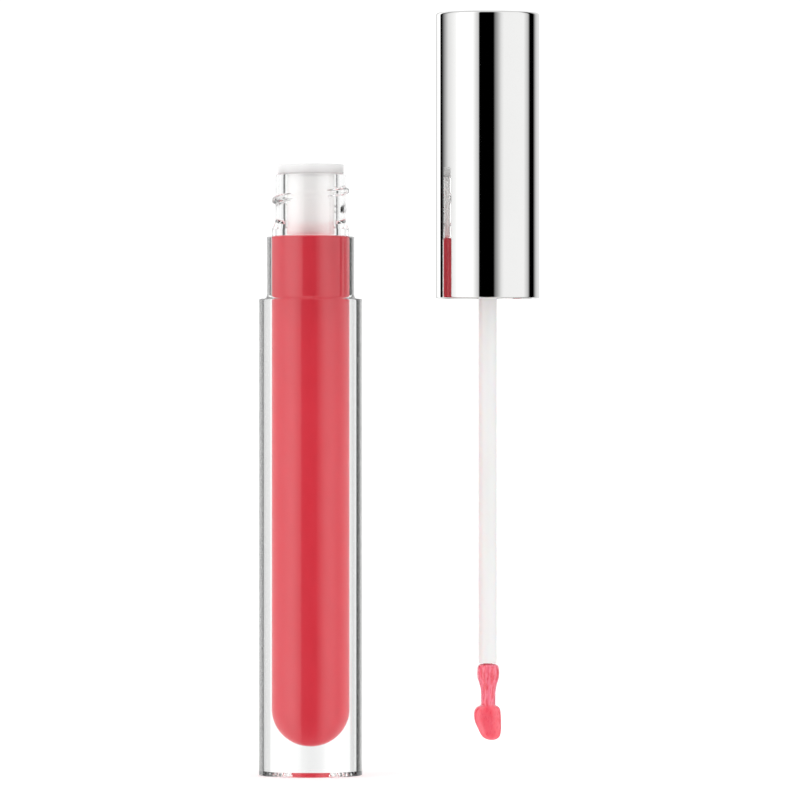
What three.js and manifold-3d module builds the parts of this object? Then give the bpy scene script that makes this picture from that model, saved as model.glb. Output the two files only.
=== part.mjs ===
// A lip gloss tube: a thick-walled clear bottle, with its mirror cap and wand held up beside it.
// Millimetres, +Z up. The origin is on the bottle's axis, on the face that it stands on.
import * as THREE from "three";
import { mergeVertices } from "three/addons/utils/BufferGeometryUtils.js";
import Module from "manifold-3d";

// ---- Driving dimensions: the container -------------------------------------------------------
const BODY_OD = 15.0; // the bottle, and the cap above it
const BODY_HEIGHT = 69.0; // from the base to the shoulder below the cap
const SHOULDER_WIDTH = 1.15; // the step that the cap's rim stands over
const COLLAR_HEIGHT = 9.0; // the slimmer top of the bottle's body, inside the cap
const COLLAR_FILLET = 0.6;
const BASE_EDGE = 0.25; // the small rounds at the foot of the body and on its shoulder
const BASE_THICKNESS = 4.3; // clear plastic under the bore
const BORE_ROUND = 5.3; // height of the rounded end of the bore
const SEAT_STEP = 0.77; // from the collar in to the ring above it
const SEAT_HEIGHT = 1.1;
const NECK_TAPER = 1.2; // height of the cone between that ring and the neck
const NECK_STEP = 0.505; // from the ring in to the neck
const NECK_WALL = 1.325;
const NECK_TOP = 18.0; // from the shoulder to the bottle's rim
const GLOSS_GAP = 0.05; // keeps the fill clear of the bore
const FILL_HEIGHT = 9.0; // from the shoulder to the surface of the gloss

// ---- Driving dimensions: the thread -----------------------------------------------------------
const THREAD_PITCH = 2.76;
const THREAD_TURNS = 1.15;
const THREAD_RISE = 1.6; // from the top of the cone to the middle of the thread's first end
const THREAD_BASE = 1.2; // width of the ridge at its root
const THREAD_CREST = 0.5;
const THREAD_DEPTH = 0.5;
const THREAD_FADE = 0.08; // turns over which each end of a ridge grows out of the wall
const THREAD_ROOT = 0.2; // how far a ridge is rooted in its wall
const THREAD_CLEARANCE = 0.15;
const LINER_THREAD_LATE = 0.2; // turns by which the liner's ridge starts after the bottle's

// ---- Driving dimensions: the wiper ------------------------------------------------------------
const WIPER_FLANGE_STEP = 0.275; // from the neck's outside in to the flange's edge
const WIPER_FLANGE_HEIGHT = 1.4;
const WIPER_FIT = 0.28; // between the wiper's tube and the bore
const WIPER_WALL = 0.56;
const WIPER_GLOSS_GAP = 0.3; // from the gloss up to the wiper's lip
const WIPER_LIP = 0.5; // thickness of the wiping lip
const WIPER_CONE = 1.5; // height over which the throat narrows to the lip
const WIPE_CLEARANCE = 0.15; // between the lip and the stem
const FACE_GAP = 0.1; // between flat faces that meet

// ---- Driving dimensions: the cap and the wand -------------------------------------------------
const CAP_OFFSET = 25.65; // from the bottle's axis to the cap's, side by side
const CAP_HEIGHT = 41.3;
const SHELL_WALL = 0.45;
const SHELL_TOP = 0.8;
const SHELL_EDGE = 0.3;
const LINER_FIT = 0.05; // between the shell and the threaded liner
const LINER_SETBACK = 0.3; // from the shell's rim up to the liner's
const COLLAR_CLEARANCE = 0.15; // between the collar and the liner
const COLLAR_HEADROOM = 0.4;
const DECK_THICKNESS = 1.6; // the liner's deck, over the stem's flange
const SOCKET_WALL = 1.1;
const SOCKET_ROOF = 1.0;
const RIB_COUNT = 6;
const RIB_THICKNESS = 0.9;
const RIB_BITE = 0.3; // how far a rib runs into the wall that carries it
const RIB_SETBACK = 0.1; // from the liner's outside in to a rib's end
const SEAL_THICKNESS = 0.8;
const SEAL_SIDE_GAP = 0.3;
const STEM_OD = 2.65;
const STEM_FLANGE_HEIGHT = 0.8;
const STEM_FLANGE_STEP = 0.6; // from the liner's thread in to the flange's edge
const PLUG_OD = 5.0;
const PLUG_HEIGHT = 6.0;
const PLUG_FIT = 0.05;

// ---- Driving dimensions: the applicator -------------------------------------------------------
const TIP_CLEARANCE = 0.8; // under the tip when the tube is closed
const TIP_HEIGHT = 11.1; // from the tip's end to the stem
const TIP_GAP = 0.15; // between the stem's end and the tip's shoulder
const SPIGOT_OD = 1.3;
const SPIGOT_LENGTH = 4.8;
const SPIGOT_FIT = 0.1;
const BULGE_OD = 3.2;
const BULGE_DROP = 1.3; // from the stem down to the widest place
const WAIST_OD = 2.16;
const WAIST_TOP = 6.9; // from the tip's end
const WAIST_BEND = 6.1; // from the tip's end to the place where the waist bends
const WAIST_GAP = 0.3; // left open at the bend
const WAIST_CHAMFER = 0.24; // lets the two ends of the bend tilt
const PADDLE_WIDTH = 3.9;
const PADDLE_HEIGHT = 5.1;
const PADDLE_THICKNESS = 2.4;
const PADDLE_EDGE = 0.6; // round along the paddle's outline

// ---- How finely round shapes are divided ------------------------------------------------------
const SIDES = 36;
const ARC_STEPS = 8;
const EDGE_STEPS = 3;

// ---- Sizes that follow from the driving ones --------------------------------------------------
const bodyR = BODY_OD / 2;
const collarR = bodyR - SHOULDER_WIDTH;
const seatR = collarR - SEAT_STEP;
const neckR = seatR - NECK_STEP;
const boreR = neckR - NECK_WALL;
const collarTop = BODY_HEIGHT + COLLAR_HEIGHT;
const seatTop = collarTop + SEAT_HEIGHT;
const coneTop = seatTop + NECK_TAPER;
const rimTop = BODY_HEIGHT + NECK_TOP;
const threadStart = coneTop + THREAD_RISE;
const glossTop = BODY_HEIGHT + FILL_HEIGHT;
const stemR = STEM_OD / 2;
const wiperTop = rimTop + FACE_GAP + WIPER_FLANGE_HEIGHT;
const wiperOuterR = boreR - WIPER_FIT;
const wiperInnerR = wiperOuterR - WIPER_WALL;

const rimHeight = BODY_HEIGHT + FACE_GAP;
const shellInnerR = bodyR - SHELL_WALL;
const linerR = shellInnerR - LINER_FIT;
const linerThreadR = neckR + THREAD_DEPTH + THREAD_CLEARANCE;
const linerMouthR = collarR + COLLAR_CLEARANCE;
const linerSeatR = Math.max(seatR + COLLAR_CLEARANCE, linerThreadR);
const linerStep = collarTop + COLLAR_HEADROOM - rimHeight;
const sealBottom = wiperTop + FACE_GAP - rimHeight;
const flangeBottom = sealBottom + SEAL_THICKNESS + FACE_GAP;
const flangeTop = flangeBottom + STEM_FLANGE_HEIGHT;
const deckBottom = flangeTop + FACE_GAP;
const deckTop = deckBottom + DECK_THICKNESS;
const plugR = PLUG_OD / 2;
const socketR = plugR + PLUG_FIT;
const socketTop = flangeTop + PLUG_HEIGHT + FACE_GAP;
const bossR = socketR + SOCKET_WALL;
const bossTop = socketTop + SOCKET_ROOF;
const sealR = linerThreadR - THREAD_DEPTH - SEAL_SIDE_GAP;

// The tip hangs this far below the cap's rim, so that it clears the end of the bore when closed.
const tipEnd = BASE_THICKNESS + TIP_CLEARANCE - rimHeight;
const stemEnd = tipEnd + TIP_HEIGHT;
const bendHeight = tipEnd + WAIST_BEND;

const wasm = await Module();
wasm.setup();

// ---- Materials --------------------------------------------------------------------------------
const material = (color, roughness, metalness, opacity = 1) =>
  new THREE.MeshStandardMaterial({ color, roughness, metalness, opacity, transparent: opacity < 1 });
const clearPlastic = () => material(0xf4f8f6, 0.05, 0, 0.3);
const milkyPlastic = () => material(0xebebe9, 0.35, 0);
const whitePlastic = () => material(0xf3f4f2, 0.3, 0);
const mirrorMetal = () => material(0xd8d8d6, 0.06, 1);
const coralGloss = () => material(0xe4596a, 0.15, 0);
const coralFlock = () => material(0xff6478, 0.3, 0);
const sealFoam = () => material(0xf0eeea, 0.7, 0);

// ---- Shape helpers ----------------------------------------------------------------------------

// Points on a quarter or other arc of an ellipse, in the plane of a profile: [radius, height].
function arc(centreR, centreZ, radiusR, radiusZ, from, to, steps) {
  return Array.from({ length: steps + 1 }, (_, i) => {
    const angle = from + ((to - from) * i) / steps;
    return [centreR + radiusR * Math.cos(angle), centreZ + radiusZ * Math.sin(angle)];
  });
}

// Turns a profile about the Z axis. Its outside runs upwards.
function turned(profile) {
  const points = profile.map(([r, z]) => new THREE.Vector2(Math.max(r, 0), z));
  return new THREE.LatheGeometry(points, SIDES).rotateX(Math.PI / 2);
}

const closed = (profile) => [...profile, profile[0]];

// A closed geometry as a solid that can be joined and cut.
function solid(geometry) {
  const bare = geometry.clone();
  bare.deleteAttribute("normal");
  bare.deleteAttribute("uv");
  const merged = mergeVertices(bare, 1e-4);
  return new wasm.Manifold(
    new wasm.Mesh({
      numProp: 3,
      vertProperties: new Float32Array(merged.attributes.position.array),
      triVerts: new Uint32Array(merged.index.array),
    }),
  );
}

function geometryOf(made) {
  const { vertProperties, triVerts } = made.getMesh();
  const geometry = new THREE.BufferGeometry()
    .setAttribute("position", new THREE.BufferAttribute(vertProperties, 3))
    .setIndex(new THREE.BufferAttribute(triVerts, 1));
  geometry.computeVertexNormals();
  return geometry;
}

const joined = (...geometries) => geometryOf(geometries.map(solid).reduce((a, b) => a.add(b)));

// A right-hand thread ridge on a wall of radius wallR. Outwards is 1 on a neck and -1 in a cap.
// The helix passes height zeroZ on the +X side. The ridge runs from one count of turns to another,
// and each of its ends grows out of the wall.
function threadRidge(wallR, outwards, zeroZ, fromTurn, toTurn) {
  const turns = toTurn - fromTurn;
  const steps = Math.round(turns * SIDES);
  const positions = [];
  for (let i = 0; i <= steps; i++) {
    const run = (turns * i) / steps;
    const turn = fromTurn + run;
    const grown = Math.min(1, run / THREAD_FADE, (turns - run) / THREAD_FADE);
    const crestR = wallR + outwards * (THREAD_DEPTH * grown);
    const rootR = wallR - outwards * THREAD_ROOT;
    const middle = zeroZ + THREAD_PITCH * turn;
    const angle = 2 * Math.PI * turn;
    const section = [
      [rootR, -THREAD_BASE / 2],
      [crestR, -THREAD_CREST / 2],
      [crestR, THREAD_CREST / 2],
      [rootR, THREAD_BASE / 2],
    ];
    for (const [r, z] of section) positions.push(r * Math.cos(angle), r * Math.sin(angle), middle + z);
  }
  const quad = (a, b, c, d) => [a, b, c, a, c, d];
  const faces = [...quad(3, 2, 1, 0)];
  for (let i = 0; i < steps; i++) {
    for (let k = 0; k < 4; k++) {
      const near = 4 * i + k;
      const next = 4 * i + ((k + 1) % 4);
      faces.push(...quad(near, next, next + 4, near + 4));
    }
  }
  faces.push(...quad(4 * steps, 4 * steps + 1, 4 * steps + 2, 4 * steps + 3));
  if (outwards > 0) faces.reverse();
  return new THREE.BufferGeometry()
    .setAttribute("position", new THREE.Float32BufferAttribute(positions, 3))
    .setIndex(faces);
}

function mesh(name, geometry, itsMaterial) {
  const made = new THREE.Mesh(geometry, itsMaterial);
  made.name = name;
  return made;
}

// ---- The container ----------------------------------------------------------------------------

// The bottle: a thick wall round a narrow bore with a rounded end, a slimmer collar for the cap, and a
// threaded neck.
function bottle() {
  const filletR = Math.min(COLLAR_FILLET, SHOULDER_WIDTH / 2);
  const wall = turned([
    [0, 0],
    ...arc(bodyR - BASE_EDGE, BASE_EDGE, BASE_EDGE, BASE_EDGE, -Math.PI / 2, 0, EDGE_STEPS),
    ...arc(bodyR - BASE_EDGE, BODY_HEIGHT - BASE_EDGE, BASE_EDGE, BASE_EDGE, 0, Math.PI / 2, EDGE_STEPS),
    ...arc(
      collarR + filletR,
      BODY_HEIGHT + filletR,
      filletR,
      filletR,
      -Math.PI / 2,
      -Math.PI,
      EDGE_STEPS,
    ),
    [collarR, collarTop],
    [seatR, collarTop],
    [seatR, seatTop],
    [neckR, coneTop],
    [neckR, rimTop],
    [boreR, rimTop],
    ...arc(0, BASE_THICKNESS + BORE_ROUND, boreR, BORE_ROUND, 0, -Math.PI / 2, ARC_STEPS),
  ]);
  const ridge = threadRidge(neckR, 1, threadStart, 0, THREAD_TURNS);
  return joined(wall, ridge);
}

// The wiper: a soft plug with a flange on the bottle's rim and a lip that strokes the stem clean.
function wiper() {
  const flangeR = neckR - WIPER_FLANGE_STEP;
  const bottom = glossTop + WIPER_GLOSS_GAP;
  const lipR = stemR + WIPE_CLEARANCE;
  return turned(
    closed([
      [lipR, bottom],
      [wiperOuterR, bottom],
      [wiperOuterR, rimTop + FACE_GAP],
      [flangeR, rimTop + FACE_GAP],
      [flangeR, wiperTop],
      [wiperInnerR, wiperTop],
      [wiperInnerR, bottom + WIPER_LIP + WIPER_CONE],
      [lipR, bottom + WIPER_LIP],
    ]),
  );
}

// The gloss itself, filling the bore up to its surface.
function glossFill() {
  const fillR = boreR - GLOSS_GAP;
  const bottom = BASE_THICKNESS + GLOSS_GAP;
  return turned([
    ...arc(0, bottom + BORE_ROUND, fillR, BORE_ROUND, -Math.PI / 2, 0, ARC_STEPS),
    [fillR, glossTop],
    [0, glossTop],
  ]);
}

// ---- The cap, measured up from its rim --------------------------------------------------------

function capShell() {
  return turned([
    [0, CAP_HEIGHT - SHELL_TOP],
    [shellInnerR, CAP_HEIGHT - SHELL_TOP],
    [shellInnerR, 0],
    [bodyR, 0],
    ...arc(bodyR - SHELL_EDGE, CAP_HEIGHT - SHELL_EDGE, SHELL_EDGE, SHELL_EDGE, 0, Math.PI / 2, EDGE_STEPS),
    [0, CAP_HEIGHT],
  ]);
}

// The threaded liner: a skirt over the collar, a thread, a deck over the stem's flange, and a socket
// for its plug, with ribs out to the shell.
function innerCap() {
  const body = turned([
    [0, socketTop],
    [socketR, socketTop],
    [socketR, deckBottom],
    [linerThreadR, deckBottom],
    [linerThreadR, coneTop - rimHeight],
    [linerSeatR, coneTop - rimHeight],
    [linerSeatR, linerStep],
    [linerMouthR, linerStep],
    [linerMouthR, LINER_SETBACK],
    [linerR, LINER_SETBACK],
    [linerR, deckTop],
    [bossR, deckTop],
    [bossR, bossTop],
    [0, bossTop],
  ]);
  const between = threadStart - rimHeight - THREAD_PITCH / 2;
  const ridge = threadRidge(linerThreadR, -1, between, LINER_THREAD_LATE, THREAD_TURNS);
  const ribLength = linerR - RIB_SETBACK - bossR + RIB_BITE;
  const ribHeight = bossTop - deckTop + RIB_BITE;
  const ribs = Array.from({ length: RIB_COUNT }, (_, i) =>
    new THREE.BoxGeometry(ribLength, RIB_THICKNESS, ribHeight)
      .translate(bossR - RIB_BITE + ribLength / 2, 0, bossTop - ribHeight / 2)
      .rotateZ((2 * Math.PI * (i + 0.5)) / RIB_COUNT),
  );
  return joined(body, ridge, ...ribs);
}

// The sealing washer that closes on the wiper's flange.
function capSeal() {
  const holeR = stemR + SEAL_SIDE_GAP;
  return turned(
    closed([
      [holeR, sealBottom],
      [sealR, sealBottom],
      [sealR, sealBottom + SEAL_THICKNESS],
      [holeR, sealBottom + SEAL_THICKNESS],
    ]),
  );
}

// The stem: a rod with a plug and a flange at its top, and a hollow end for the tip's spigot.
function stem() {
  const holeR = SPIGOT_OD / 2 + SPIGOT_FIT;
  const holeTop = stemEnd + SPIGOT_LENGTH + SPIGOT_FIT;
  const flangeR = linerThreadR - STEM_FLANGE_STEP;
  return turned([
    [0, holeTop],
    [holeR, holeTop],
    [holeR, stemEnd],
    [stemR, stemEnd],
    [stemR, flangeBottom],
    [flangeR, flangeBottom],
    [flangeR, flangeTop],
    [plugR, flangeTop],
    [plugR, flangeTop + PLUG_HEIGHT],
    [0, flangeTop + PLUG_HEIGHT],
  ]);
}

// The upper half of the flocked tip: a spigot in the stem, a bulge, and the waist down to the bend.
function applicatorNeck() {
  const waistR = WAIST_OD / 2;
  const bulgeR = BULGE_OD / 2;
  const spigotR = SPIGOT_OD / 2;
  const shoulder = stemEnd - TIP_GAP;
  const bulge = stemEnd - BULGE_DROP;
  const waistTop = tipEnd + WAIST_TOP;
  const flare = bulge - waistTop;
  const flareProfile = Array.from({ length: ARC_STEPS + 1 }, (_, i) => {
    const along = i / ARC_STEPS;
    const swell = (1 - Math.cos(Math.PI * along)) / 2;
    return [waistR + (bulgeR - waistR) * swell, waistTop + flare * along];
  });
  return turned([
    [0, bendHeight + WAIST_GAP / 2],
    [waistR, bendHeight + WAIST_GAP / 2 + WAIST_CHAMFER],
    ...flareProfile,
    [stemR, shoulder],
    [spigotR, shoulder],
    [spigotR, stemEnd + SPIGOT_LENGTH],
    [0, stemEnd + SPIGOT_LENGTH],
  ]);
}

// The outline of the doe-foot paddle, seen from the front: a slanted left side and a round toe.
function paddleOutline() {
  const half = PADDLE_WIDTH / 2 - PADDLE_EDGE;
  const top = tipEnd + PADDLE_HEIGHT - PADDLE_EDGE;
  const toe = tipEnd + PADDLE_EDGE;
  const height = top - toe;
  const outline = new THREE.Shape();
  outline.moveTo(-half * 0.6, top);
  outline.quadraticCurveTo(-half, top, -half, top - height * 0.18);
  outline.quadraticCurveTo(-half, top - height * 0.35, -half * 0.78, top - height * 0.52);
  outline.quadraticCurveTo(-half * 0.3, toe + height * 0.05, half * 0.35, toe);
  outline.quadraticCurveTo(half * 0.95, toe + height * 0.02, half, toe + height * 0.25);
  outline.lineTo(half, top - height * 0.15);
  outline.quadraticCurveTo(half * 0.95, top, half * 0.55, top);
  outline.closePath();
  return outline;
}

// The lower half of the tip: the waist below the bend, and the paddle.
function applicatorPaddle() {
  const waistR = WAIST_OD / 2;
  const waistEnd = bendHeight - WAIST_GAP / 2;
  const waist = turned([
    [0, tipEnd + PADDLE_HEIGHT / 2],
    [waistR, tipEnd + PADDLE_HEIGHT / 2],
    [waistR, waistEnd - WAIST_CHAMFER],
    [0, waistEnd],
  ]);
  const depth = PADDLE_THICKNESS - 2 * PADDLE_EDGE;
  const paddle = new THREE.ExtrudeGeometry(paddleOutline(), {
    depth,
    bevelThickness: PADDLE_EDGE,
    bevelSize: PADDLE_EDGE,
    bevelSegments: EDGE_STEPS,
    curveSegments: EDGE_STEPS,
  })
    .rotateX(Math.PI / 2)
    .translate(0, depth / 2, 0);
  return joined(waist, paddle);
}

// ---- The assembly -----------------------------------------------------------------------------
const container = new THREE.Group();
container.add(
  mesh("bottle", bottle(), clearPlastic()),
  mesh("wiper", wiper(), milkyPlastic()),
  mesh("gloss_fill", glossFill(), coralGloss()),
);

const capAndWand = new THREE.Group();
capAndWand.position.set(CAP_OFFSET, 0, rimHeight);
capAndWand.add(
  mesh("cap_shell", capShell(), mirrorMetal()),
  mesh("inner_cap", innerCap(), whitePlastic()),
  mesh("cap_seal", capSeal(), sealFoam()),
  mesh("stem", stem(), whitePlastic()),
  mesh("applicator_neck", applicatorNeck(), coralFlock()),
  mesh("applicator_paddle", applicatorPaddle(), coralFlock()),
);

const lipGlossTube = new THREE.Group();
lipGlossTube.add(container, capAndWand);

export default lipGlossTube;
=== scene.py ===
import math

import bpy
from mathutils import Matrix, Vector, noise as noise_field


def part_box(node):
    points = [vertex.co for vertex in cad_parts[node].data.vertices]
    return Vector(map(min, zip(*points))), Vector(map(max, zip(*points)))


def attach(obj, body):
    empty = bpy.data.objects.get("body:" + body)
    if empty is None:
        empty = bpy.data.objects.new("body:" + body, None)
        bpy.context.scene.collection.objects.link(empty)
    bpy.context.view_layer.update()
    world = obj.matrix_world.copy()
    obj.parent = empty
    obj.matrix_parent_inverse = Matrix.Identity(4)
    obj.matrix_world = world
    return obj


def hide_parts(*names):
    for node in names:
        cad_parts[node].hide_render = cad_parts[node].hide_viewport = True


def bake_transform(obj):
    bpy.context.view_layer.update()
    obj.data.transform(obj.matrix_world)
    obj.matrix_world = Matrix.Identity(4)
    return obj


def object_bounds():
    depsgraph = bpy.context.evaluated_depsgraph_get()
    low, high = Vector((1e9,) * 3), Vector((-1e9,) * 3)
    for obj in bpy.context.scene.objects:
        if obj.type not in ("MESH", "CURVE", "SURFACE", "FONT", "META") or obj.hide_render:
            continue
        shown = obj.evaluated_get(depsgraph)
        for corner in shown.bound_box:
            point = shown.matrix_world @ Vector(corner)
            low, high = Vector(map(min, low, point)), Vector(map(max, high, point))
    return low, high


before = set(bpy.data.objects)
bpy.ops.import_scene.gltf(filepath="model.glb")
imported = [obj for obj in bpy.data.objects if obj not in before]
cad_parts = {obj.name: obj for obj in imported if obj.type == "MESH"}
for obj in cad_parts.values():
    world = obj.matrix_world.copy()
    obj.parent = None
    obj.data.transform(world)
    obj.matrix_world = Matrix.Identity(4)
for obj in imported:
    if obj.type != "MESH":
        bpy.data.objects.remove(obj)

cad_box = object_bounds()

# ---- Sizes, in metres ---------------------------------------------------------------------------
MM = 0.001
SUPPORT = 0.06 * MM  # distance of the loop that holds a flat face flat beside its rounded edge
TINY = 0.001 * MM  # two radii that differ by less are the same
NEAR_POLE = -89.9  # degrees: an arc stops just short of the axis, where the profile's pole follows
SIDES = 160
THREAD_SIDES = 240
SMALL_SIDES = 96

bottle_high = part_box("bottle")[1]
wiper_low, wiper_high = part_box("wiper")
gloss_low, gloss_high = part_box("gloss_fill")
shell_low, shell_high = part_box("cap_shell")
liner_low, liner_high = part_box("inner_cap")
seal_low, seal_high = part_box("cap_seal")
stem_low, stem_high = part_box("stem")
tip_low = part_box("applicator_paddle")[0]

FACE_GAP = 0.1 * MM  # between flat faces that meet
SLIDE_GAP = 0.15 * MM  # between pieces that slide or screw past each other
PUSH_GAP = 0.05 * MM  # between pieces that are pushed together

# The bottle, from its body up its steps to the neck, and the bore.
SHOULDER_WIDTH = 1.15 * MM
SEAT_STEP = 0.77 * MM
SEAT_HEIGHT = 1.1 * MM
NECK_STEP = 0.505 * MM
CONE_HEIGHT = 1.2 * MM
NECK_WALL = 1.325 * MM
BORE_ROUND = 5.3 * MM  # height of the bore's round end
FILL_GAP = 0.05 * MM  # between the bore and the CAD model's gloss
body_r = bottle_high.x
shoulder_z = shell_low.z - FACE_GAP
collar_r = body_r - SHOULDER_WIDTH
collar_top = gloss_high.z
seat_r = collar_r - SEAT_STEP
seat_top = collar_top + SEAT_HEIGHT
neck_r = seat_r - NECK_STEP
cone_top = seat_top + CONE_HEIGHT
bore_r = neck_r - NECK_WALL
bore_floor = gloss_low.z - FILL_GAP

# The cap. The stem's flange lies between the seal and the liner's deck, and its plug is in the boss.
SHELL_WALL = 0.45 * MM
SHELL_TOP = 0.8 * MM
STEM_R = 1.325 * MM
STEM_FLANGE = 0.8 * MM
DECK = 1.6 * MM
SOCKET_R = 2.55 * MM
BOSS_WALL = 1.1 * MM
RIB_COUNT = 6
cap_at = ((shell_low.x + shell_high.x) / 2, (shell_low.y + shell_high.y) / 2)
liner_r = body_r - SHELL_WALL - PUSH_GAP
boss_r = SOCKET_R + BOSS_WALL
flange_low = seal_high.z + FACE_GAP
flange_high = flange_low + STEM_FLANGE
deck_low = flange_high + FACE_GAP
deck_top = deck_low + DECK

# The thread, the same on the neck and, half a turn lower, in the cap.
PITCH = 2.76 * MM
TURNS = 1.15
THREAD_DEPTH = 0.5 * MM
THREAD_BASE = 0.6 * MM  # half the width of the ridge at its root
THREAD_FLANK = 0.35 * MM
THREAD_FADE = 0.08  # turns over which each end of a ridge grows out of the wall
THREAD_RISE = 1.6 * MM  # from the top of the cone to the thread's start
LINER_THREAD_FROM = 0.2  # turns that the liner's thread leaves out at its start
thread_start = cone_top + THREAD_RISE
liner_thread_r = neck_r + THREAD_DEPTH + SLIDE_GAP


# ---- Mesh helpers -------------------------------------------------------------------------------

def arc(centre_z, radius_r, radius_z, start, end, steps=40):
    """Points of an arc of an ellipse centred on the axis, with no fillets. Angles are in degrees."""
    points = []
    for i in range(steps + 1):
        angle = math.radians(start + (end - start) * i / steps)
        points.append((radius_r * math.cos(angle), centre_z + radius_z * math.sin(angle), 0))
    return points


def upright(r, low, high, steps):
    """Closely spaced points up a wall of one radius, for a thread to stand on."""
    return [(r, low + (high - low) * i / steps, 0) for i in range(steps + 1)]


def rounded(corners, closed=False, steps=5):
    """A profile from (radius, height, fillet) corners. A fillet is an arc with a support loop at each end."""
    count = len(corners)
    out = []
    for i, (r, z, fillet) in enumerate(corners):
        here = Vector((r, z))
        ends = not closed and i in (0, count - 1)
        if ends or fillet <= 0:
            out.append((r, z))
            continue
        before = Vector(corners[i - 1][:2]) - here
        after = Vector(corners[(i + 1) % count][:2]) - here
        room = min(before.length, after.length)
        before.normalize()
        after.normalize()
        half = before.angle(after) / 2
        back = min(fillet / math.tan(half), room * 0.45)
        radius = back * math.tan(half)
        centre = here + (before + after).normalized() * (radius / math.sin(half))
        start = here + before * back - centre
        finish = here + after * back - centre
        sweep = math.pi - 2 * half
        turn = -1 if start.x * finish.y - start.y * finish.x < 0 else 1
        hold = min(SUPPORT, room * 0.1)
        out.append(tuple(here + before * (back + hold)))
        for k in range(steps + 1):
            angle = turn * sweep * k / steps
            c, s = math.cos(angle), math.sin(angle)
            out.append((centre.x + start.x * c - start.y * s, centre.y + start.x * s + start.y * c))
        out.append(tuple(here + after * (back + hold)))
    return out


def make_piece(name, verts, faces, sharp=40):
    """A smooth-shaded mesh object whose edges are sharp past an angle in degrees."""
    mesh = bpy.data.meshes.new(name)
    mesh.from_pydata(verts, [], faces)
    mesh.validate()
    mesh.shade_smooth()
    mesh.set_sharp_from_angle(angle=math.radians(sharp))
    piece = bpy.data.objects.new(name, mesh)
    bpy.context.scene.collection.objects.link(piece)
    return piece


def skin(rings, closed=False):
    """Faces between rings of vertex numbers. A ring of one vertex is a pole."""
    pairs = list(zip(rings, rings[1:]))
    if closed:
        pairs.append((rings[-1], rings[0]))
    faces = []
    for low, high in pairs:
        sides = max(len(low), len(high))
        for i in range(sides):
            j = (i + 1) % sides
            if len(low) == 1:
                faces.append((low[0], high[j], high[i]))
            elif len(high) == 1:
                faces.append((low[i], low[j], high[0]))
            else:
                faces.append((low[i], low[j], high[j], high[i]))
    return faces


def lathe(name, profile, closed=False, sides=SIDES, at=(0, 0), swell=None):
    """Turns a profile of (radius, height) about a vertical axis. Its outside runs upwards.
    swell(radius, height, angle) may give a point another radius."""
    verts, rings = [], []
    for r, z in profile:
        if r < TINY and not closed:
            rings.append([len(verts)])
            verts.append((at[0], at[1], z))
            continue
        ring = []
        for i in range(sides):
            angle = 2 * math.pi * i / sides
            rr = swell(r, z, angle) if swell else r
            ring.append(len(verts))
            verts.append((at[0] + rr * math.cos(angle), at[1] + rr * math.sin(angle), z))
        rings.append(ring)
    return make_piece(name, verts, skin(rings, closed))


def thread_on(wall_r, outwards, zero, first, last):
    """A swell that stands a right-hand thread on the wall of one radius. The helix would pass the height
    given as zero on the +X side, and it runs from the first to the last count of turns from there.
    Outwards is 1 on a neck and -1 in a cap."""
    def swell(r, z, angle):
        if abs(r - wall_r) > TINY:
            return r
        ridge = 0
        for lap in (0, 1):
            turn = angle / (2 * math.pi) + lap
            if first < turn < last:
                grown = min(1, (turn - first) / THREAD_FADE, (last - turn) / THREAD_FADE)
                off = abs(z - zero - PITCH * turn)
                rise = min(1, max(0, (THREAD_BASE - off) / THREAD_FLANK))
                ridge = max(ridge, grown * rise * rise * (3 - 2 * rise))
        return r + outwards * THREAD_DEPTH * ridge
    return swell


def place(piece, body, slot, material, *nodes):
    """Gives a piece its material, hides the CAD nodes that it stands for, and hangs it on the body that it
    rides on.
    """
    piece.data.materials.append(material)
    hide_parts(*nodes)
    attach(piece, body)
    return piece


# ---- Material helpers ---------------------------------------------------------------------------

def new_material(name):
    material = bpy.data.materials.new(name)
    material.use_nodes = True
    return material, material.node_tree, material.node_tree.nodes["Principled BSDF"]


def connect(tree, value, socket):
    """Gives an input its value, which is another node's output or a plain number or colour."""
    if isinstance(value, (int, float, tuple)):
        socket.default_value = value
    else:
        tree.links.new(value, socket)


def object_height(tree):
    """The height of the surface, in metres above the model's origin."""
    coords = tree.nodes.new("ShaderNodeTexCoord")
    split = tree.nodes.new("ShaderNodeSeparateXYZ")
    tree.links.new(coords.outputs["Object"], split.inputs["Vector"])
    return split.outputs["Z"]


def noise(tree, scale, detail=2.0, stretch=(1, 1, 1)):
    """A noise texture in the object's own coordinates, with scale in waves per metre."""
    coords = tree.nodes.new("ShaderNodeTexCoord")
    mapping = tree.nodes.new("ShaderNodeMapping")
    mapping.inputs["Scale"].default_value = stretch
    texture = tree.nodes.new("ShaderNodeTexNoise")
    texture.inputs["Scale"].default_value = scale
    texture.inputs["Detail"].default_value = detail
    tree.links.new(coords.outputs["Object"], mapping.inputs["Vector"])
    tree.links.new(mapping.outputs["Vector"], texture.inputs["Vector"])
    return texture.outputs["Fac"]


def remap(tree, value, low, high, from_low=0.3, from_high=0.7):
    """Takes the range from_low to from_high to the range low to high, and holds it at the ends."""
    node = tree.nodes.new("ShaderNodeMapRange")
    node.inputs["From Min"].default_value = from_low
    node.inputs["From Max"].default_value = from_high
    node.inputs["To Min"].default_value = low
    node.inputs["To Max"].default_value = high
    tree.links.new(value, node.inputs["Value"])
    return node.outputs["Result"]


def blend_colours(tree, value, first, second, from_low=0.3, from_high=0.7):
    """The first colour up to from_low, the second from from_high on, and a blend between them."""
    ramp = tree.nodes.new("ShaderNodeValToRGB")
    ramp.color_ramp.elements[0].position = from_low
    ramp.color_ramp.elements[0].color = (*first, 1)
    ramp.color_ramp.elements[1].position = from_high
    ramp.color_ramp.elements[1].color = (*second, 1)
    tree.links.new(value, ramp.inputs["Fac"])
    return ramp.outputs["Color"]


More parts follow.
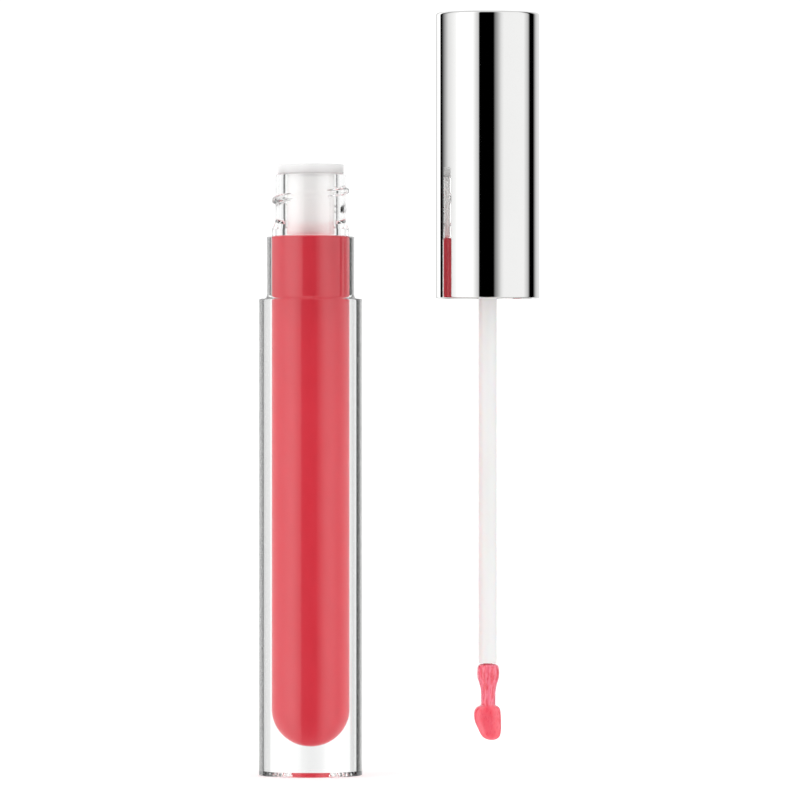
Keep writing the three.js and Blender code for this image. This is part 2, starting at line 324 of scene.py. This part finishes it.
def mix_colours(tree, factor, first, second):
    node = tree.nodes.new("ShaderNodeMixRGB")
    connect(tree, factor, node.inputs["Fac"])
    connect(tree, first, node.inputs["Color1"])
    connect(tree, second, node.inputs["Color2"])
    return node.outputs["Color"]


def bump(tree, shader, height, strength, distance):
    node = tree.nodes.new("ShaderNodeBump")
    node.inputs["Strength"].default_value = strength
    node.inputs["Distance"].default_value = distance
    tree.links.new(height, node.inputs["Height"])
    tree.links.new(node.outputs["Normal"], shader.inputs["Normal"])


# ---- Materials ----------------------------------------------------------------------------------

def clear_plastic():
    """Polished clear plastic, with the faint upright waves that moulding leaves in a thick wall."""
    material, tree, shader = new_material("bottle_clear")
    shader.inputs["Base Color"].default_value = (0.99, 0.995, 0.992, 1)
    shader.inputs["IOR"].default_value = 1.49
    shader.inputs["Transmission Weight"].default_value = 1.0
    tree.links.new(remap(tree, noise(tree, 400), 0.004, 0.012), shader.inputs["Roughness"])
    bump(tree, shader, noise(tree, 700, 1.0, (1, 1, 0.04)), 0.015, 0.02 * MM)
    return material


def gloss_material():
    """Thick coral gloss: uneven in tone and finely grained, with painted shade that makes it a little darker
    towards the collar, under the shoulder.
    """
    material, tree, shader = new_material("gloss_coral")
    tone = noise(tree, 260, 3.0, (1, 1, 0.5))
    coral = blend_colours(tree, tone, (0.975, 0.057, 0.086), (0.985, 0.066, 0.098))
    # Painted shade: between these heights the coral is scaled from 1 down to 0.93, for the shade under the
    # bottle's shoulder.
    unshaded_below = shoulder_z - 16 * MM
    full_shade_from = shoulder_z - 3 * MM
    painted_shade = tree.nodes.new("ShaderNodeVectorMath")
    painted_shade.operation = "SCALE"
    tree.links.new(coral, painted_shade.inputs[0])
    tree.links.new(remap(tree, object_height(tree), 1.0, 0.93, unshaded_below, full_shade_from), painted_shade.inputs["Scale"])
    tree.links.new(painted_shade.outputs["Vector"], shader.inputs["Base Color"])
    tree.links.new(remap(tree, noise(tree, 300), 0.28, 0.33), shader.inputs["Roughness"])
    shader.inputs["Specular IOR Level"].default_value = 0.22
    bump(tree, shader, noise(tree, 9000, 1.0), 0.05, 0.01 * MM)
    return material


def milky_plastic():
    """Soft translucent white plastic, tinted where its end hangs over the gloss. Its tube glows faintly, for
    the light that its thin wall would pass on inside the neck. The flange on the rim doesn't."""
    material, tree, shader = new_material("wiper_milky")
    height = object_height(tree)
    above_gloss = remap(tree, height, 0, 1, wiper_low.z, wiper_low.z + 2.2 * MM)
    tint = blend_colours(tree, above_gloss, (0.80, 0.68, 0.68), (0.80, 0.80, 0.795), 0.0, 1.0)
    glow = remap(tree, height, 0.25, 0.0, wiper_high.z - 2.0 * MM, wiper_high.z - 1.5 * MM)
    tree.links.new(tint, shader.inputs["Base Color"])
    tree.links.new(tint, shader.inputs["Emission Color"])
    tree.links.new(glow, shader.inputs["Emission Strength"])
    tree.links.new(remap(tree, noise(tree, 1500, 3.0), 0.28, 0.42), shader.inputs["Roughness"])
    bump(tree, shader, noise(tree, 2600, 2.0), 0.08, 0.02 * MM)
    shader.inputs["Subsurface Weight"].default_value = 1.0
    shader.inputs["Subsurface Radius"].default_value = (1.0, 1.0, 1.0)
    shader.inputs["Subsurface Scale"].default_value = 5 * MM
    return material


def mirror_metal():
    """Plated plastic: a dark chrome with a trace of orange peel and handling haze."""
    material, tree, shader = new_material("cap_mirror")
    shade = blend_colours(tree, noise(tree, 90), (0.635, 0.635, 0.63), (0.65, 0.65, 0.645))
    tree.links.new(shade, shader.inputs["Base Color"])
    shader.inputs["Metallic"].default_value = 1.0
    tree.links.new(remap(tree, noise(tree, 150, 4.0), 0.02, 0.045), shader.inputs["Roughness"])
    bump(tree, shader, noise(tree, 320, 1.0), 0.03, 0.01 * MM)
    return material


def moulded_white(name, first, second, roughness, subsurface=0.0):
    """White moulded plastic with a fine satin grain and faint flow marks."""
    material, tree, shader = new_material(name)
    flow = noise(tree, 300, 3.0, (1, 1, 0.2))
    tree.links.new(blend_colours(tree, flow, first, second), shader.inputs["Base Color"])
    tree.links.new(remap(tree, noise(tree, 1200, 3.0), *roughness), shader.inputs["Roughness"])
    bump(tree, shader, noise(tree, 5000, 2.0), 0.10, 0.01 * MM)
    shader.inputs["Subsurface Weight"].default_value = subsurface
    shader.inputs["Subsurface Scale"].default_value = 0.5 * MM
    return material


def seal_foam():
    """Closed-cell foam with small pits."""
    material, tree, shader = new_material("seal_foam")
    tone = blend_colours(tree, noise(tree, 2500, 3.0), (0.80, 0.79, 0.76), (0.88, 0.87, 0.84))
    tree.links.new(tone, shader.inputs["Base Color"])
    cells = tree.nodes.new("ShaderNodeTexVoronoi")
    cells.inputs["Scale"].default_value = 5000
    coords = tree.nodes.new("ShaderNodeTexCoord")
    tree.links.new(coords.outputs["Object"], cells.inputs["Vector"])
    tree.links.new(remap(tree, cells.outputs["Distance"], 0.85, 0.65, 0.0, 1.0), shader.inputs["Roughness"])
    bump(tree, shader, cells.outputs["Distance"], 0.4, 0.05 * MM)
    return material


def wet_flock():
    """Short flock soaked in gloss: streaks of wet fibre above the paddle, and an even film on it."""
    material, tree, shader = new_material("tip_flock")
    streaks = noise(tree, 2600, 4.0, (1, 1, 0.22))
    fibres = blend_colours(tree, streaks, (0.82, 0.05, 0.09), (0.995, 0.21, 0.30), 0.36, 0.56)
    film = blend_colours(tree, noise(tree, 900, 2.0), (0.975, 0.095, 0.14), (0.995, 0.13, 0.185))
    above_paddle = remap(tree, object_height(tree), 0.0, 1.0, tip_low.z + 4.7 * MM, tip_low.z + 5.4 * MM)
    tree.links.new(mix_colours(tree, above_paddle, film, fibres), shader.inputs["Base Color"])
    tree.links.new(remap(tree, noise(tree, 3000, 3.0, (1, 1, 0.4)), 0.18, 0.5), shader.inputs["Roughness"])
    bump(tree, shader, noise(tree, 7000, 3.0, (1, 1, 0.3)), 0.35, 0.04 * MM)
    shader.inputs["Subsurface Weight"].default_value = 0.35
    shader.inputs["Subsurface Radius"].default_value = (1.0, 0.35, 0.4)
    shader.inputs["Subsurface Scale"].default_value = 0.4 * MM
    shader.inputs["Coat Weight"].default_value = 0.8
    shader.inputs["Coat Roughness"].default_value = 0.08
    return material


# ---- The container ------------------------------------------------------------------------------

def bottle():
    """One thick clear body: a recessed base, a collar, a seat, a cone, and the threaded neck."""
    rim = bottle_high.z
    edge = 0.25 * MM
    foot_r = body_r - 0.45 * MM
    recess = 0.64 * MM
    recess_slope = math.radians(32)
    recess_r = foot_r - recess / math.tan(recess_slope)
    thread_foot = cone_top + 1.0 * MM
    profile = rounded([
        (0, recess, 0),
        (recess_r, recess, 0.05 * MM),
        (foot_r, 0, 0.05 * MM),
        (body_r, 0, 0.15 * MM),
        (body_r, shoulder_z, edge),
        (collar_r, shoulder_z, 0.6 * MM),
        (collar_r, collar_top, 0.08 * MM),
        (seat_r, collar_top, 0.1 * MM),
        (seat_r, seat_top, 0.1 * MM),
        (neck_r, cone_top, 2.2 * MM),
        *upright(neck_r, thread_foot, rim - edge, 90),
        (neck_r, rim, 0.1 * MM),
        (bore_r, rim, 0.1 * MM),
        *arc(bore_floor + BORE_ROUND, bore_r, BORE_ROUND, 0, NEAR_POLE),
        (0, bore_floor, 0),
    ])
    thread = thread_on(neck_r, 1, thread_start, 0, TURNS)
    return lathe("clear_bottle", profile, sides=THREAD_SIDES, swell=thread)


def wiper():
    """A soft plug: a flange on the bottle's rim, a tube in the bore, and a throat down to its lip."""
    low, top = wiper_low.z, wiper_high.z
    rest_z = bottle_high.z + FACE_GAP
    outer_r = bore_r - 0.28 * MM
    inner_r = outer_r - 0.56 * MM
    lip_r = STEM_R + SLIDE_GAP
    lip_top = low + 0.5 * MM
    throat_top = low + 2.0 * MM
    profile = rounded([
        (lip_r, low, 0.1 * MM),
        (outer_r, low, 0.2 * MM),
        (outer_r, rest_z, 0.1 * MM),
        (wiper_high.x, rest_z, 0.12 * MM),
        (wiper_high.x, top, 0.2 * MM),
        (inner_r, top, 0.3 * MM),
        (inner_r, throat_top, 0.3 * MM),
        (lip_r, lip_top, 0.1 * MM),
    ], closed=True)
    return lathe("neck_wiper", profile, closed=True)


def gloss_fill():
    """The gloss wets the bore, so it reaches a little into the wall, and its surface climbs at the rim."""
    contact = 0.03 * MM
    climb = 0.12 * MM
    r = bore_r + contact
    low = bore_floor - contact
    middle = gloss_high.z - climb
    profile = rounded([
        (0, low, 0),
        *arc(low + BORE_ROUND, r, BORE_ROUND, NEAR_POLE, 0),
        (r, gloss_high.z, 0),
        (r - 0.25 * MM, middle + climb / 4, 0),
        (r - 0.9 * MM, middle, 0),
        (0, middle, 0),
    ])
    return lathe("gloss", profile)


# ---- The cap and the wand -----------------------------------------------------------------------

def cap_shell():
    """The plated outer cup, open below."""
    low, top = shell_low.z, shell_high.z
    ceiling = top - SHELL_TOP
    inner_r = body_r - SHELL_WALL
    profile = rounded([
        (0, ceiling, 0),
        (inner_r, ceiling, 0.2 * MM),
        (inner_r, low, 0.06 * MM),
        (body_r, low, 0.12 * MM),
        (body_r, top, 0.35 * MM),
        (0, top, 0),
    ])
    return lathe("cap_mirror_shell", profile, at=cap_at)


def cap_liner():
    """The liner that grips the shell: a skirt round the collar, the thread, a deck and a plug socket."""
    low, top = liner_low.z, liner_high.z
    edge = 0.1 * MM
    mouth_r = collar_r + SLIDE_GAP
    seat_bore_r = seat_r + SLIDE_GAP
    step_z = collar_top + 0.4 * MM
    socket_top = top - 1.0 * MM
    profile = rounded([
        (0, socket_top, 0),
        (SOCKET_R, socket_top, edge),
        (SOCKET_R, deck_low, edge),
        (liner_thread_r, deck_low, edge),
        *reversed(upright(liner_thread_r, cone_top + edge, deck_low - 4 * edge, 70)),
        (liner_thread_r, cone_top, 0),
        (seat_bore_r, cone_top, edge / 2),
        (seat_bore_r, step_z, edge),
        (mouth_r, step_z, edge),
        (mouth_r, low, edge),
        (liner_r, low, edge),
        (liner_r, deck_top, edge),
        (boss_r, deck_top, edge),
        (boss_r, top, edge),
        (0, top, 0),
    ])
    thread = thread_on(liner_thread_r, -1, thread_start - PITCH / 2, LINER_THREAD_FROM, TURNS)
    return lathe("cap_liner", profile, at=cap_at, sides=THREAD_SIDES, swell=thread)


def liner_rib(number):
    """One of the webs from the boss towards the shell: an upright plate with rounded edges, which reaches a
    little into the boss and the deck."""
    half_width = 0.45 * MM
    inner = boss_r - 0.3 * MM
    outer = liner_r - 0.1 * MM
    low, top = deck_top - 0.1 * MM, liner_high.z
    corners = [(inner, low), (outer, low), (outer, top), (inner, top)]
    angle = 2 * math.pi * (number + 0.5) / RIB_COUNT
    verts = []
    for side in (-half_width, half_width):
        for r, z in corners:
            x = cap_at[0] + r * math.cos(angle) - side * math.sin(angle)
            y = cap_at[1] + r * math.sin(angle) + side * math.cos(angle)
            verts.append((x, y, z))
    faces = [(0, 1, 2, 3), (7, 6, 5, 4)]
    faces += [(i, i + 4, (i + 1) % 4 + 4, (i + 1) % 4) for i in range(4)]
    rib = make_piece(f"cap_liner_rib_{number + 1}", verts, faces)
    edges = rib.modifiers.new("edges", "BEVEL")
    edges.width = 0.12 * MM
    edges.segments = 3
    return rib


def cap_seal():
    """The soft washer round the stem, with rounded edges."""
    inner_r = STEM_R + 0.3 * MM
    outer_r = (seal_high.x - seal_low.x) / 2
    round_edge = 0.18 * MM
    profile = rounded([
        (inner_r, seal_low.z, round_edge),
        (outer_r, seal_low.z, round_edge),
        (outer_r, seal_high.z, round_edge),
        (inner_r, seal_high.z, round_edge),
    ], closed=True)
    return lathe("cap_seal_washer", profile, closed=True, at=cap_at, sides=SMALL_SIDES)


def stem():
    """The rod, with the flange and plug that hold it in the liner, and the hole for the tip's spigot."""
    end = stem_low.z
    hole_r = SPIGOT_R * MM + 0.1 * MM
    hole_top = end + 4.9 * MM
    flange_r = (stem_high.x - stem_low.x) / 2
    plug_r = SOCKET_R - PUSH_GAP
    edge = 0.1 * MM
    profile = rounded([
        (0, hole_top, 0),
        (hole_r, hole_top, edge),
        (hole_r, end, 0.06 * MM),
        (STEM_R, end, 0.12 * MM),
        (STEM_R, flange_low, 0.2 * MM),
        (flange_r, flange_low, edge),
        (flange_r, flange_high, edge),
        (plug_r, flange_high, edge),
        (plug_r, stem_high.z, 0.3 * MM),
        (0, stem_high.z, 0),
    ])
    return lathe("wand_stem", profile, at=cap_at, sides=SMALL_SIDES)


# The doe-foot tip, in millimetres. Its heights are above its end.
SPIGOT_R = 0.65
SPIGOT_TOP = 15.8
FLOCK_TOP = 10.9
PADDLE_TOP = 5.0
TOE_X = 0.62
FUZZ = 0.035  # depth of the ridges in the flock

# Its outline, as height, left side, right side and half its depth.
TIP_ROWS = [
    (0.03, 0.40, 0.90, 0.18), (0.12, -0.05, 1.20, 0.40), (0.30, -0.48, 1.52, 0.62),
    (0.60, -0.82, 1.76, 0.80), (1.10, -1.14, 1.90, 0.96), (1.80, -1.46, 1.96, 1.08),
    (2.50, -1.78, 1.97, 1.16), (3.20, -1.96, 1.95, 1.20), (3.90, -1.98, 1.91, 1.20),
    (4.40, -1.86, 1.84, 1.18), (4.75, -1.62, 1.66, 1.14), (4.98, -1.25, 1.36, 1.08),
    (5.12, -1.02, 1.14, 1.04), (5.60, -0.97, 1.11, 1.02), (6.60, -0.95, 1.12, 1.02),
    (7.40, -0.99, 1.19, 1.07), (8.10, -1.16, 1.33, 1.22), (8.90, -1.42, 1.58, 1.46),
    (9.60, -1.53, 1.68, 1.57), (10.30, -1.50, 1.64, 1.55), (10.75, -1.42, 1.54, 1.47),
    (10.93, -1.25, 1.33, 1.28),
]


def smooth_rows(rows, steps):
    """Rows between the given ones, on a Catmull-Rom curve through them."""
    out = []
    for i in range(len(rows) - 1):
        a, b = rows[max(i - 1, 0)], rows[i]
        c, d = rows[i + 1], rows[min(i + 2, len(rows) - 1)]
        for k in range(steps):
            t = k / steps
            row = []
            for p, q, r, s in zip(a, b, c, d):
                linear = (r - p) * t
                square = (2 * p - 5 * q + 4 * r - s) * t * t
                cube = (3 * q - p - 3 * r + s) * t ** 3
                row.append(0.5 * (2 * q + linear + square + cube))
            out.append(row)
    out.append(list(rows[-1]))
    return out


def doe_foot_tip():
    """One flocked piece from the spigot in the stem to the slanted toe. Its fibres lie along it in ridges.
    The paddle is squarer in section than the rest, and the film of gloss fills most of its ridges."""
    sides = 112
    end = tip_low.z
    rows = smooth_rows(TIP_ROWS, 8)
    rows += [
        [11.03, -1.05, 1.1, 1.05],
        [11.04, -SPIGOT_R, SPIGOT_R, SPIGOT_R],
        [SPIGOT_TOP, -SPIGOT_R, SPIGOT_R, SPIGOT_R],
    ]
    verts = [(cap_at[0] + TOE_X * MM, cap_at[1], end)]
    rings = [[0]]
    for height, left, right, depth in rows:
        paddle = min(1, max(0, (PADDLE_TOP - height) / 0.8))
        flocked = min(1, max(0, (FLOCK_TOP - height) / 0.3))
        power = 2 / (2 + 0.7 * paddle)
        fuzz = FUZZ * flocked * (1 - 0.65 * paddle)
        ring = []
        for i in range(sides):
            angle = 2 * math.pi * i / sides
            c, s = math.cos(angle), math.sin(angle)
            ridge = noise_field.noise(Vector((c * 4.5, s * 4.5, height * 0.7))) * fuzz
            ridge += noise_field.noise(Vector((c * 13, s * 13, height * 2.4))) * fuzz * 0.6
            x = (left + right) / 2 + ((right - left) / 2 + ridge) * math.copysign(abs(c) ** power, c)
            y = (depth + ridge) * math.copysign(abs(s) ** power, s)
            ring.append(len(verts))
            verts.append((cap_at[0] + x * MM, cap_at[1] + y * MM, end + height * MM))
        rings.append(ring)
    rings.append([len(verts)])
    verts.append((cap_at[0], cap_at[1], end + SPIGOT_TOP * MM))
    return make_piece("doe_foot_tip", verts, skin(rings), sharp=60)


white = moulded_white("liner_white", (0.86, 0.86, 0.85), (0.90, 0.90, 0.89), (0.25, 0.38))
satin = moulded_white("stem_satin", (0.87, 0.87, 0.86), (0.90, 0.90, 0.89), (0.30, 0.42), subsurface=0.2)
place(bottle(), "bottle", "clear_plastic", clear_plastic(), "bottle")
place(wiper(), "bottle", "milky_plastic", milky_plastic(), "wiper")
place(gloss_fill(), "bottle", "gloss", gloss_material(), "gloss_fill")
place(cap_shell(), "cap", "mirror_metal", mirror_metal(), "cap_shell")
place(cap_liner(), "cap", "white_plastic", white, "inner_cap")
for number in range(RIB_COUNT):
    place(liner_rib(number), "cap", "white_plastic", white, "inner_cap")
place(cap_seal(), "seal", "seal_foam", seal_foam(), "cap_seal")
place(stem(), "cap", "stem_plastic", satin, "stem")

tip = doe_foot_tip()
tip.data.materials.append(wet_flock())
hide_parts("applicator_neck", "applicator_paddle")
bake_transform(tip)

# ---- The stage, the light and the camera --------------------------------------------------------

# The studio as it is reflected, as (bearing in degrees, brightness). Bearing 0 is towards the camera and
# grows towards the right. Dark stretches are black flags, and bright ones are large soft boxes.
REFLECTED = [
    (-180, 0.30), (-165, 0.45), (-158, 0.55), (-150, 0.80), (-143, 0.95), (-134, 0.95), (-131, 0.0),
    (-123, 0.0), (-121, 0.06), (-99, 0.62), (-77, 0.80), (-68, 1.0), (-38, 1.0), (-24, 0.55), (-20.5, 0.5),
    (-19.5, 0.0), (13, 0.0), (15, 0.12), (17, 0.2), (21, 0.31), (26, 0.5), (30, 0.64), (36, 0.74),
    (87, 0.745), (102, 0.40), (106, 0.06), (108, 0.0), (123, 0.0), (131, 0.30), (137, 0.48), (152, 0.58),
    (180, 0.45),
]
MIRRORED_WHITE = 1.83  # what a brightness of 1 stands for in a gloss or a mirror
SOFT_WHITE = 1.85  # and on a matt surface
REFLECTED_CEILING = 0.55

# The studio as it is seen through the bottle, with a nearly even sheet of light behind it.
THROUGH_WHITE = 2.6
THROUGH_CEILING = 0.8
THROUGH = [
    (-180, 0.36), (-171, 0.37), (-165, 0.425), (-143, 0.425), (-141, 0.32), (-134, 0.32), (-131.5, 0.40),
    (-129.5, 0.40), (-127.5, 0.02), (-121, 0.015), (-116, 0.05), (-110, 0.13), (-100, 0.27), (-85, 0.90),
    (-68, 1.0), (-55, 0.85), (-38, 0.35), (-24, 0.05), (-19.5, 0.0), (13, 0.0), (24, 0.05), (38, 0.30),
    (55, 0.82), (87, 1.0), (102, 0.19), (106, 0.03), (124, 0.03), (128, 0.33), (141, 0.325), (143, 0.425),
    (165, 0.425), (180, 0.36),
]
CEILING_FROM, CEILING_TO = 0.62, 0.80  # sines of the elevations between which the ceiling takes over
BACKDROP_WHITE = 1.1


def math_node(tree, operation, first, second):
    node = tree.nodes.new("ShaderNodeMath")
    node.operation = operation
    connect(tree, first, node.inputs[0])
    connect(tree, second, node.inputs[1])
    return node.outputs[0]


def light_pattern(tree, share, stops, overhead, ceiling):
    """The colour of the studio round the object, with one even grey overhead. Share is the bearing as a
    share of the whole turn, and overhead goes from 0 on the walls to 1 on the ceiling."""
    ramp = tree.nodes.new("ShaderNodeValToRGB")
    elements = ramp.color_ramp.elements
    elements.remove(elements[-1])
    for i, (degrees, value) in enumerate(stops):
        position = (degrees + 180) / 360
        element = elements[0] if i == 0 else elements.new(position)
        element.position = position
        element.color = (value, value, value, 1)
    tree.links.new(share, ramp.inputs["Fac"])
    return mix_colours(tree, overhead, ramp.outputs["Color"], (ceiling, ceiling, ceiling, 1))


def background(tree, colour, strength):
    node = tree.nodes.new("ShaderNodeBackground")
    connect(tree, colour, node.inputs["Color"])
    connect(tree, strength, node.inputs["Strength"])
    return node.outputs[0]


def mix_light(tree, factor, first, second):
    node = tree.nodes.new("ShaderNodeMixShader")
    tree.links.new(factor, node.inputs["Fac"])
    tree.links.new(first, node.inputs[1])
    tree.links.new(second, node.inputs[2])
    return node.outputs[0]


def studio():
    """White soft boxes and black flags all round, before a plain white backdrop."""
    world = bpy.data.worlds.new("studio")
    bpy.context.scene.world = world
    world.use_nodes = True
    tree = world.node_tree
    tree.nodes.clear()
    coords = tree.nodes.new("ShaderNodeTexCoord")
    split = tree.nodes.new("ShaderNodeSeparateXYZ")
    tree.links.new(coords.outputs["Generated"], split.inputs["Vector"])
    towards = math_node(tree, "MULTIPLY", split.outputs["Y"], -1)
    bearing = math_node(tree, "ARCTAN2", split.outputs["X"], towards)
    share = remap(tree, bearing, 0, 1, -math.pi, math.pi)
    overhead = remap(tree, split.outputs["Z"], 0, 1, CEILING_FROM, CEILING_TO)
    ray = tree.nodes.new("ShaderNodeLightPath")
    extra = math_node(tree, "MULTIPLY", ray.outputs["Is Glossy Ray"], MIRRORED_WHITE - SOFT_WHITE)
    strength = math_node(tree, "ADD", extra, SOFT_WHITE)
    reflected = light_pattern(tree, share, REFLECTED, overhead, REFLECTED_CEILING)
    refracted = light_pattern(tree, share, THROUGH, overhead, THROUGH_CEILING)
    around = background(tree, reflected, strength)
    through = background(tree, refracted, THROUGH_WHITE)
    plain = background(tree, (1, 1, 1, 1), BACKDROP_WHITE)
    lit = mix_light(tree, ray.outputs["Is Transmission Ray"], around, through)
    seen = mix_light(tree, ray.outputs["Is Camera Ray"], lit, plain)
    out = tree.nodes.new("ShaderNodeOutputWorld")
    tree.links.new(seen, out.inputs["Surface"])


FLOOR_R = 0.2
FLOOR_DROP = 0.02 * MM  # below the bottle's foot


def floor():
    """A pale round table top. Clear and mirror surfaces don't show it, so its edge doesn't cut the flags."""
    material, tree, shader = new_material("floor_pale")
    tone = blend_colours(tree, noise(tree, 40), (0.92, 0.92, 0.92), (0.94, 0.94, 0.94))
    tree.links.new(tone, shader.inputs["Base Color"])
    shader.inputs["Roughness"].default_value = 0.6
    shader.inputs["Emission Color"].default_value = (1, 1, 1, 1)
    shader.inputs["Emission Strength"].default_value = 0.25
    piece = lathe("floor", [(FLOOR_R, -FLOOR_DROP), (0, -FLOOR_DROP)], sides=128)
    piece.data.materials.append(material)
    piece.visible_transmission = False
    piece.visible_glossy = False


CAMERA_DISTANCE = 1.0
FRAME_WIDTH = 115.94 * MM  # what the view takes in across, at the model
FRAME_RIGHT = 0.125 * MM  # how far the view's middle is right of the model's middle
FRAME_DOWN = 0.85 * MM
SENSOR_WIDTH = 36


def camera():
    """A level camera, square to the model's front."""
    data = bpy.data.cameras.new("camera")
    data.sensor_width = SENSOR_WIDTH
    data.lens = SENSOR_WIDTH * CAMERA_DISTANCE / FRAME_WIDTH
    data.clip_start, data.clip_end = 0.01, 50
    piece = bpy.data.objects.new("camera", data)
    middle = (cad_box[0] + cad_box[1]) / 2
    piece.location = (middle.x + FRAME_RIGHT, -CAMERA_DISTANCE, middle.z - FRAME_DOWN)
    piece.rotation_euler = (math.pi / 2, 0, 0)
    bpy.context.scene.collection.objects.link(piece)
    bpy.context.scene.camera = piece


studio()
floor()
camera()
scene = bpy.context.scene
scene.view_settings.view_transform = "Standard"
# Enough bounces for light to come through the bottle's walls, thread and wiper.
scene.cycles.max_bounces = 24
scene.cycles.transmission_bounces = 24
scene.cycles.glossy_bounces = 12
scene.cycles.diffuse_bounces = 6

bpy.context.view_layer.update()
